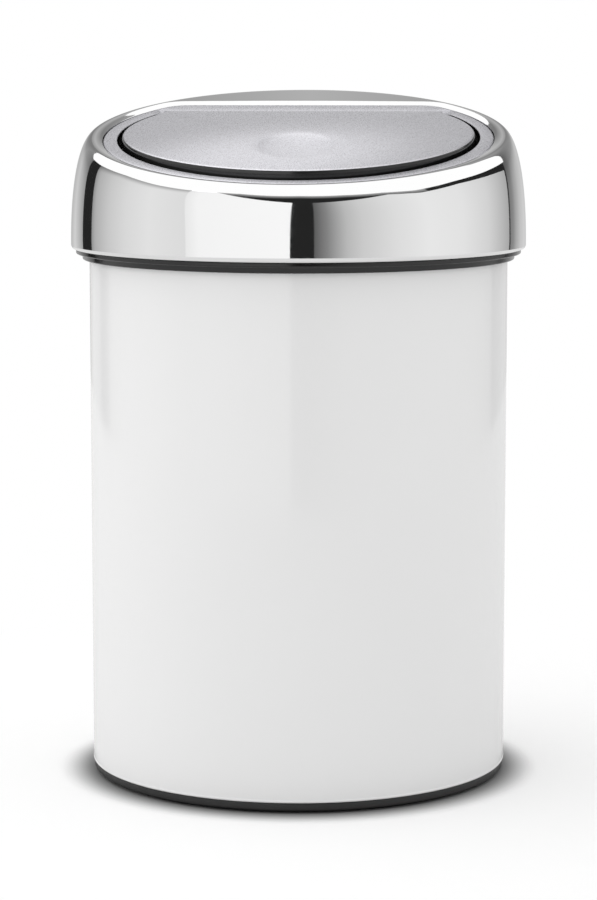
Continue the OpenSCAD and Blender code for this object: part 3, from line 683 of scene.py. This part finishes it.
hem_middle = (RING_R - RING_HEM_R, HEM_Z + RING_HEM_R)
hem_rim = [(RING_HEM_IN, HEM_Z)] + arc(hem_middle, RING_HEM_R, *RING_HEM_TURN)
ring_points = []
for i in range(RING_STEPS):
    a = math.tau * i / RING_STEPS
    c, s = math.cos(a), math.sin(a)
    section = [(r * c, r * s, z) for r, z in hem_rim]
    section += [side_curve(a, 0, k / SIDE_STEPS) for k in range(1, SIDE_STEPS + 1)]
    span = CREST_R - outline_reach(a, *OPENING_OUTLINE)
    section += [edge_point(a, share * span, 0) for share in EDGE_SHARES]
    section += [edge_point(a, outward, down) for outward, down in RING_LIP]
    section += [side_curve(a, RING_T, k / INSIDE_STEPS) for k in range(INSIDE_STEPS, 0, -1)]
    section += [(r * c, r * s, HEM_Z + RING_T) for r in (RING_R - RING_T, RING_HEM_IN)]
    ring_points += section
lid_ring = mesh_piece("bright_ring", ring_points, skin_faces(RING_STEPS, len(section)))
bright = Finish("bright_steel", metallic=1.0)
bright.feed("Base Color", bright.noise(BRIGHT_CLOUD).blend(*BRIGHT_GREYS))
sheen = bright.noise(BRIGHT_SHEEN, detail=4)
bright.feed("Roughness", sheen.between(*BRIGHT_SPAN, *BRIGHT_ROUGH))
bright.paint(lid_ring)
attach(lid_ring, "lid")
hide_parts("lid_ring")

# Carrier: the satin black moulding under the trim that holds the flap's well, the hinge
# and the latch. It is screwed down on the skirt's posts.
moulding.paint(nodes["flap_carrier"], nodes["latch_housing"], nodes["latch_cap"])


# Trim: the silver plate round the flap, moulded with a fine metal flake. Its edges are
# rounded, and the straight strip behind the hinge falls a little to the front.
def inset_outline(points, distance):
    """The closed outline moved inward, or outward where the distance is below zero."""
    moved = []
    for i, (x, y) in enumerate(points):
        ax, ay = points[i - 1]
        bx, by = points[(i + 1) % len(points)]
        along = Vector((bx - ax, by - ay)).normalized()
        moved.append((x - along.y * distance, y + along.x * distance))
    return moved


def well_reach(angle):
    """Reach of the trim's inner edge: round, with a straight rear edge and cut corners."""
    x, y = abs(math.cos(angle)), math.sin(angle)
    from_middle = y * FLAP_Y + math.sqrt(TRIM_IN_R**2 - (x * FLAP_Y) ** 2)
    if from_middle * y < RELIEF_Y:
        return from_middle
    lean = (RELIEF[0] - RELIEF[1]) / (STRIP_Y - RELIEF_Y)
    return min(STRIP_Y / y, (RELIEF[0] + lean * RELIEF_Y) / (x + lean * y))


def strip_fall(y):
    """How far the trim's inner edge lies under its outer edge."""
    return STRIP_FALL * min(1, max(0, (y - RELIEF_Y) / (STRIP_Y - RELIEF_Y)))


# Outline of the trim, as (radius, reach of the rear edge, radius of its corners).
TRIM_OUTLINE = (74.35, 54.3, 11.6)
TRIM_IN_R = 69.2
FLAP_Y = 0.8
STRIP_Y = 45.6
STRIP_FALL = 1.2
RELIEF = (58.4, 56)
RELIEF_Y = 38
TRIM_T = 1.6
TRIM_EASE = 0.7
TRIM_IN_EASE = 0.3
TRIM_UNDER_EASE = 0.25
TRIM_LEDGE = 1
TRIM_STEPS = 720
EDGE_TURNS = [math.radians(22.5 * k) for k in range(5)]
SILVER_DARK = (0.47, 0.467, 0.494, 1)
SILVER_PALE = (0.73, 0.726, 0.765, 1)
SILVER_METAL = 0.5
SILVER_ROUGH = (0.26, 0.36)
FLAKE = 0.2
FLAKE_SHARE = 0.9
MIST = 1.2
SILVER_GRAIN = 0.25
SILVER_DEPTH = 0.006

angles = [math.tau * i / TRIM_STEPS for i in range(TRIM_STEPS)]
reaches = [outline_reach(a, *TRIM_OUTLINE) for a in angles]
trim_out = [(r * math.cos(a), r * math.sin(a)) for r, a in zip(reaches, angles)]
trim_in = [(well_reach(a) * math.cos(a), well_reach(a) * math.sin(a)) for a in angles]
trim_rows = [(trim_out, TRIM_UNDER_EASE, -TRIM_T), (trim_out, 0, -TRIM_T + TRIM_UNDER_EASE)]
for t in EDGE_TURNS:
    drop = TRIM_EASE * (1 - math.sin(t))
    trim_rows.append((trim_out, TRIM_EASE * (1 - math.cos(t)), -drop))
for t in EDGE_TURNS:
    drop = TRIM_IN_EASE * (1 - math.cos(t))
    trim_rows.append((trim_in, -TRIM_IN_EASE * (1 - math.sin(t)), -drop))
trim_rows += [(trim_in, 0, -TRIM_T), (trim_in, -TRIM_LEDGE, -TRIM_T)]
trim_points = []
for edge, distance, h in trim_rows:
    for x, y in inset_outline(edge, distance):
        lower = strip_fall(y) if edge is trim_in and h > -TRIM_T else 0
        trim_points.append(on_slope(x, y, h - lower))
trim = mesh_piece("trim", trim_points, skin_faces(len(trim_rows), TRIM_STEPS))
silver = Finish("satin_silver", metallic=SILVER_METAL)
flake = silver.cells(FLAKE)
mist = silver.noise(MIST, detail=3)
tone = FLAKE_SHARE * flake + (1 - FLAKE_SHARE) * mist
silver.feed("Base Color", tone.blend(SILVER_DARK, SILVER_PALE))
silver.feed("Roughness", flake.between(0, 1, *SILVER_ROUGH))
silver.bump(silver.noise(SILVER_GRAIN), SILVER_DEPTH)
silver.paint(trim)
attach(trim, "lid")
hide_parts("flap_frame")


# Trim's lining: a thin glossy black moulding inside the trim's inner edge, with a lip
# that goes down round the sides and front of the well. Its black is partly painted shade:
# it darkens the trim's inner wall and the gap round the flap, where shade falls.
def strand_faces(rings, count):
    """Quads along an open row of closed rings, and a face over each end."""
    ends = [tuple(range(count)), tuple(reversed(range((rings - 1) * count, rings * count)))]
    return skin_faces(rings, count, around=False) + ends


# Corners of the lining's section, as (inward from the trim's inner edge, at its foot).
LINING_SECTION = [(0.03, False), (0.03, True), (-0.6, True), (-0.6, False)]
LINING_DROP = 0.05
LIP_LOW = -5
LIP_HIGH = -0.8
# Corners of the lip's section, as (outward from the trim's inner edge, height).
LIP_SECTION = [
    (0, LIP_HIGH), (0, LIP_LOW + 0.2), (0.2, LIP_LOW), (0.5, LIP_LOW), (0.7, LIP_LOW + 0.2),
    (0.7, LIP_HIGH),
]
LIP_PAST = 34.6
LIP_FROM = math.radians(180 - LIP_PAST)
LIP_TO = math.radians(360 + LIP_PAST)
LIP_STEPS = 260

lining_points = []
for distance, at_foot in LINING_SECTION:
    for x, y in inset_outline(trim_in, distance):
        h = -TRIM_T if at_foot else -(TRIM_IN_EASE + LINING_DROP + strip_fall(y))
        lining_points.append(on_slope(x, y, h))
lining_faces = skin_faces(len(LINING_SECTION), TRIM_STEPS)
lip_points = []
for i in range(LIP_STEPS + 1):
    a = LIP_FROM + (LIP_TO - LIP_FROM) * i / LIP_STEPS
    for outward, h in LIP_SECTION:
        r = TRIM_IN_R + outward
        lip_points.append(on_slope(r * math.cos(a), FLAP_Y + r * math.sin(a), h))
add_part(lining_points, lining_faces, lip_points, strand_faces(LIP_STEPS + 1, len(LIP_SECTION)))
# A black sheet that is partly painted shade on the trim's inner wall and in the gap.
lining_and_shade = mesh_piece("trim_lining_and_shade", lining_points, lining_faces)
gloss_black.paint(lining_and_shade)
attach(lining_and_shade, "lid")


# Flap: a silver sheet with an oval hollow for a finger, rolled round the hinge line at
# the rear and over a black moulding that carries it. Closed, it stands a little proud at
# the front.
def on_flap(x, y, h):
    """A point given with the flap level, as a point of the bin with the flap closed."""
    along, up = y - HINGE_Y, h + HINGE_DEPTH
    y_turned = HINGE_Y + along * TILT_COS + up * TILT_SIN
    return on_slope(x, y_turned, up * TILT_COS - along * TILT_SIN - HINGE_DEPTH)


def roll_point(x, y, turn):
    """A point of the flap's rounded edge, at a turn from its top to its side."""
    out = Vector((x, y - FLAP_Y)).normalized()
    inward = FLAP_ROLL * (1 - math.sin(turn))
    return (x - out.x * inward, y - out.y * inward, FLAP_TOP - FLAP_ROLL * (1 - math.cos(turn)))


def rim_rows(kind, x, y):
    """The silver sheet from its top over its rounded edge to its underside."""
    turns = [math.radians(SILVER_END * k / ROLL_STEPS) for k in range(ROLL_STEPS + 1)]
    rows = [roll_point(x, y, t) for t in turns]
    if kind == "cut":
        rows = [(x, y, row[2]) for row in rows]
    boss = Vector((x, y - FLAP_Y)).normalized() * FLAP_BOSS_R + Vector((0, FLAP_Y))
    boss.y = min(boss.y, HINGE_Y - KNUCKLE_ROOM)
    inner = Vector(rows[-1][:2]).lerp(boss, UNDER_SHARE)
    under_h = rows[-1][2] - SHEET_T
    ends = [(inner.x, inner.y, under_h), (boss.x, boss.y, under_h)]
    return rows + ends + [(boss.x, boss.y, FLAP_TOP - FLAP_T)]


def barrel_rows(x, y):
    """The silver sheet from its top round the hinge line and back to its underside."""
    rows = []
    for k in range(BARREL_STEPS + 1):
        t = math.radians(BARREL_OUTSIDE * k / BARREL_STEPS)
        rows.append((x, y + BARREL_R * math.sin(t), BARREL_R * math.cos(t) - HINGE_DEPTH))
    inner = BARREL_R - BARREL_SKIN
    for k in range(BARREL_STEPS):
        turned_back = (BARREL_OUTSIDE + BARREL_INSIDE) * k / (BARREL_STEPS - 1)
        t = math.radians(BARREL_OUTSIDE - turned_back)
        rows.append((x, y + inner * math.sin(t), inner * math.cos(t) - HINGE_DEPTH))
    return rows + [(x, y - KNUCKLE_ROOM, FLAP_TOP - FLAP_T)]


def dimple_height(share):
    """Height inside the hollow, at a share of the way out to its soft edge."""
    return FLAP_TOP - DIMPLE_DEPTH * (1 - share**2) ** DIMPLE_CURVE


HINGE_Y = 42
HINGE_DEPTH = 2.6
TILT = math.radians(1.45)
TILT_COS, TILT_SIN = math.cos(TILT), math.sin(TILT)
FLAP_R = 67.4
FLAP_BOSS_R = 63.4
FLAP_SIDE = (59.5, 32)
FLAP_CORNER_X = 55
FLAP_TOP = 0.4
FLAP_T = 2.6
FLAP_ROLL = 1.4
SILVER_END = 38
ROLL_STEPS = 10
SHEET_T = 0.25
UNDER_SHARE = 0.3
BARREL_R = 2.95
BARREL_SKIN = 0.7
BARREL_HALF = 51
BARREL_OUTSIDE = 75
BARREL_INSIDE = 78
BARREL_STEPS = 6
KNUCKLE_ROOM = 2.8
CORNER_EASE = 0.1
BARREL_GAP = 0.01
DIMPLE = (14.5, 21.8)
DIMPLE_Y = -21.5
DIMPLE_DEPTH = 1.5
DIMPLE_CURVE = 0.8
DIMPLE_STEPS = 24
TOP_STEPS = 9
ARC_STEPS = 300
BARREL_COLUMNS = 60

corner_angle = math.asin((HINGE_Y - FLAP_Y) / FLAP_R)
corner_lean = (FLAP_SIDE[0] - FLAP_CORNER_X) / (HINGE_Y - FLAP_SIDE[1])
rim_spots = []
for i in range(ARC_STEPS + 1):
    a = math.pi - corner_angle + (math.pi + 2 * corner_angle) * i / ARC_STEPS
    x, y = FLAP_R * math.cos(a), FLAP_Y + FLAP_R * math.sin(a)
    if y > FLAP_SIDE[1]:
        x = math.copysign(max(abs(x), FLAP_SIDE[0] - corner_lean * (y - FLAP_SIDE[1])), x)
    rim_spots.append((x, y))
cut_from, cut_to = FLAP_CORNER_X - CORNER_EASE, BARREL_HALF + BARREL_GAP
barrel_xs = [BARREL_HALF * (1 - 2 * i / BARREL_COLUMNS) for i in range(BARREL_COLUMNS + 1)]
columns = [("rim", x, y) for x, y in rim_spots]
columns += [("cut", x, HINGE_Y) for x in (cut_from, cut_to)]
columns += [("barrel", x, HINGE_Y) for x in barrel_xs]
columns += [("cut", x, HINGE_Y) for x in (-cut_to, -cut_from)]

flap_points = []
for kind, x, y in columns:
    edge = barrel_rows(x, y) if kind == "barrel" else rim_rows(kind, x, y)
    top_x, top_y = edge[0][:2]
    turn = math.atan2((top_y - DIMPLE_Y) / DIMPLE[1], top_x / DIMPLE[0])
    oval = Vector((DIMPLE[0] * math.cos(turn), DIMPLE_Y + DIMPLE[1] * math.sin(turn)))
    rows = []
    for k in range(1, DIMPLE_STEPS + 1):
        share = k / DIMPLE_STEPS
        rows.append((oval.x * share, DIMPLE_Y + (oval.y - DIMPLE_Y) * share, dimple_height(share)))
    for k in range(1, TOP_STEPS):
        spot_on = oval.lerp(Vector((top_x, top_y)), k / TOP_STEPS)
        rows.append((spot_on.x, spot_on.y, FLAP_TOP))
    low_x, low_y, low_h = edge[-1]
    rows += edge + [(low_x / 2, low_y / 2, low_h)]
    flap_points += [on_flap(*p) for p in rows]
flap_rows = len(flap_points) // len(columns)
flap_faces = skin_faces(len(columns), flap_rows, closed=False)
top_middle, low_middle = len(flap_points), len(flap_points) + 1
flap_points += [on_flap(0, DIMPLE_Y, FLAP_TOP - DIMPLE_DEPTH), on_flap(0, 0, FLAP_TOP - FLAP_T)]
for i in range(len(columns)):
    j = (i + 1) % len(columns)
    flap_faces.append((top_middle, i * flap_rows, j * flap_rows))
    flap_faces.append((low_middle, (j + 1) * flap_rows - 1, (i + 1) * flap_rows - 1))
flap = mesh_piece("flap_cover", flap_points, flap_faces)
silver.paint(flap)
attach(flap, "flap")
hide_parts("flap")

# Flap's bead: the rounded edge of the glossy black moulding under the flap, which shows
# as a dark line between the silver sheet and the trim.
BEAD_LOW = -1.1
BEAD_STEPS = 8
BEAD_INWARD = 0.03
BEAD_UNDER = 0.05

bead_points = []
for x, y in rim_spots:
    turns = [SILVER_END + (90 - SILVER_END) * k / BEAD_STEPS for k in range(BEAD_STEPS + 1)]
    rows = [roll_point(x, y, math.radians(t)) for t in turns] + [(x, y, BEAD_LOW)]
    inner = Vector(rows[0][:2]).lerp(Vector((0, FLAP_Y)), BEAD_INWARD)
    rows += [(inner.x, inner.y, BEAD_LOW), (inner.x, inner.y, rows[0][2] - BEAD_UNDER)]
    bead_points += [on_flap(*p) for p in rows]
bead_faces = strand_faces(len(rim_spots), len(bead_points) // len(rim_spots))
bead = mesh_piece("flap_bead", bead_points, bead_faces)
gloss_black.paint(bead, nodes["flap_liner"])
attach(bead, "flap")


# Springs: two torsion springs on the hinge axle and one coil spring under the plunger,
# wound from thin steel wire.
def wire(name, path, radius):
    """A round wire along a path of points in millimetres, closed at both ends."""
    points = []
    side = WIRE_START
    for i, p in enumerate(path):
        ahead = Vector(path[min(i + 1, len(path) - 1)]) - Vector(path[max(i - 1, 0)])
        ahead.normalize()
        side = (side - ahead * side.dot(ahead)).normalized()
        up = ahead.cross(side)
        for k in range(WIRE_SIDES):
            a = math.tau * k / WIRE_SIDES
            points.append(Vector(p) + radius * (math.cos(a) * side + math.sin(a) * up))
    return mesh_piece(name, points, strand_faces(len(path), WIRE_SIDES), crease=WIRE_CREASE)


WIRE_START = Vector((1, 0.1, 0.05))
WIRE_SIDES = 12
WIRE_CREASE = 60
CURL_STEPS = 36
TORSION_CURLS = 7.5
TORSION_PITCH = 1.2
TORSION_R = 1.6
TORSION_WIRE = 0.3
TORSION_LEG = -3.9
REAR_LEG_Y = -1.2
LEG_STEPS = 6
SPRING_FROM = 26
LATCH_Y = -60
LATCH_CURLS = 6
LATCH_COIL_R = 1.9
LATCH_WIRE = 0.28
LATCH_COIL = (-29.7, -21.9)

spring_length = TORSION_PITCH * TORSION_CURLS
left_from = -SPRING_FROM - spring_length
springs = []
for name, start in (("torsion_spring_left", left_from), ("torsion_spring_right", SPRING_FROM)):
    coil = []
    for k in range(LEG_STEPS):
        share = k / LEG_STEPS
        leg_y = REAR_LEG_Y + (TORSION_R - REAR_LEG_Y) * share
        coil.append((start, leg_y, TORSION_LEG * (1 - share)))
    for i in range(int(TORSION_CURLS * CURL_STEPS) + 1):
        a = math.tau * i / CURL_STEPS
        along = start + TORSION_PITCH * i / CURL_STEPS
        coil.append((along, TORSION_R * math.cos(a), TORSION_R * math.sin(a)))
    end_x = start + spring_length
    for k in range(1, LEG_STEPS + 1):
        coil.append((end_x, -TORSION_R, TORSION_LEG * k / LEG_STEPS))
    placed = [on_slope(x, y + HINGE_Y, z - HINGE_DEPTH) for x, y, z in coil]
    spring = wire("wound_" + name, placed, TORSION_WIRE)
    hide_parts(name)
    springs.append(spring)
coil = []
for i in range(LATCH_CURLS * CURL_STEPS + 1):
    a = math.tau * i / CURL_STEPS
    share = i / (LATCH_CURLS * CURL_STEPS)
    h = LATCH_COIL[0] + (LATCH_COIL[1] - LATCH_COIL[0]) * share
    coil.append(on_slope(LATCH_COIL_R * math.cos(a), LATCH_Y + LATCH_COIL_R * math.sin(a), h))
spring = wire("wound_latch_spring", coil, LATCH_WIRE)
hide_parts("latch_spring")
springs.append(spring)
drawn.paint(*springs)
for spring in springs:
    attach(spring, "lid")

# Axle, clips, pins and screws: plain bright steel, turned or headed. The clips are pushed
# on the axle's ends, and the screws go into the mouldings.
drawn.paint(*(nodes[n] for n in ("hinge_axle", "axle_clips", "latch_cam_pin", "jaw_pin_left")))
drawn.paint(*(nodes[n] for n in ("jaw_pin_right", "carrier_screws", "frame_screws")))
drawn.paint(nodes["latch_screws"], nodes["striker_screws"])

# Latch: a white moulded plunger with two hooked jaws, which hold the head of the white
# striker that is screwed under the flap.
ACETAL_WHITES = (grey(0.8, 0.01), grey(0.84, 0.01))
ACETAL_ROUGH = 0.3
ACETAL_CLOUD = 3
ACETAL_GRAIN = 0.3
ACETAL_DEPTH = 0.006

acetal = Finish("white_acetal", roughness=ACETAL_ROUGH)
acetal.feed("Base Color", acetal.noise(ACETAL_CLOUD).blend(*ACETAL_WHITES))
acetal.bump(acetal.noise(ACETAL_GRAIN), ACETAL_DEPTH)
acetal.paint(nodes["latch_plunger"], nodes["latch_jaw_left"], nodes["latch_jaw_right"])
acetal.paint(nodes["flap_striker"])

# Buffers: four dark rubber pegs pushed into the carrier's ledge, which the closed flap
# comes down on.
RUBBER_BLACKS = (grey(0.03), grey(0.05))
RUBBER_ROUGH = 0.75
RUBBER_BLOOM = 0.8
RUBBER_GRAIN = 0.3
RUBBER_DEPTH = 0.02

rubber = Finish("soft_rubber", roughness=RUBBER_ROUGH)
rubber.feed("Base Color", rubber.noise(RUBBER_BLOOM, detail=4).blend(*RUBBER_BLACKS))
rubber.bump(rubber.noise(RUBBER_GRAIN), RUBBER_DEPTH)
rubber.paint(nodes["flap_buffers"])
